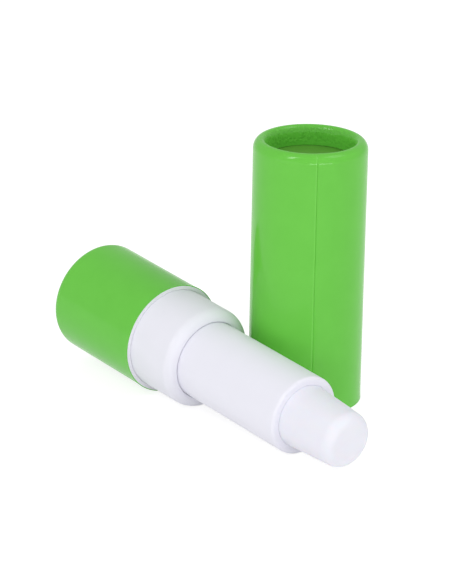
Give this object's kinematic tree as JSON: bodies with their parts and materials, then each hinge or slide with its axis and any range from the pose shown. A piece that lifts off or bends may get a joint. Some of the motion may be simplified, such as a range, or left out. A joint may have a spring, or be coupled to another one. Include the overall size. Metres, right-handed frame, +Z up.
{
  "type": "twist-up lip balm stick",
  "caption": "Twist-up lip balm in green-wrapped paper tubes with rolled edges: cap standing beside the opened stick, neck, barrel and balm showing.",
  "frame": {"origin": "centre of the cap's open mouth, on the surface that the cap stands on", "axes": "+Z up along the cap; +X the way the stick's nose points in plan; the stick lies on the -Y side of the cap"},
  "size_m": [0.0709, 0.0376, 0.0475],
  "materials": {
    "green_wrap": "satin",
    "green_card": "matte",
    "card": "matte",
    "neck_paper": "satin",
    "moulded_plastic": "satin",
    "balm": "satin"
  },
  "bodies": {
    "base": {"base_tube": "card", "base_wrap": "green_wrap", "base_disc": "green_card", "drive_fork": "moulded_plastic"},
    "neck": {"neck_tube": "neck_paper", "spacer_tube": "card", "barrel_shell": "moulded_plastic", "cam_sleeve": "moulded_plastic"},
    "cup": {"balm_cup": "moulded_plastic", "balm": "balm"},
    "cap": {"cap_tube": "card", "cap_wrap": "green_wrap", "cap_disc": "green_card"}
  },
  "joints": [
    {"name": "neck_twist", "type": "hinge", "parent": "base", "child": "neck", "pos_m": [-0.0376, -0.01765, 0.01178], "axis": [0.9966, 0, -0.0824], "range_deg": [-339, 396]},
    {"name": "cup_rise", "type": "slide", "parent": "base", "child": "cup", "axis": [0.9966, 0, -0.0824], "range_m": [-0.0132, 0.0113]},
    {"name": "cap_lift", "type": "slide", "parent": "base", "child": "cap", "axis": [0, 0, 1], "range_m": [0, 0.06]}
  ],
  "couplings": [
    {"joint": "cup_rise", "follows": "neck_twist", "m_per_rad": -0.0019099}
  ]
}
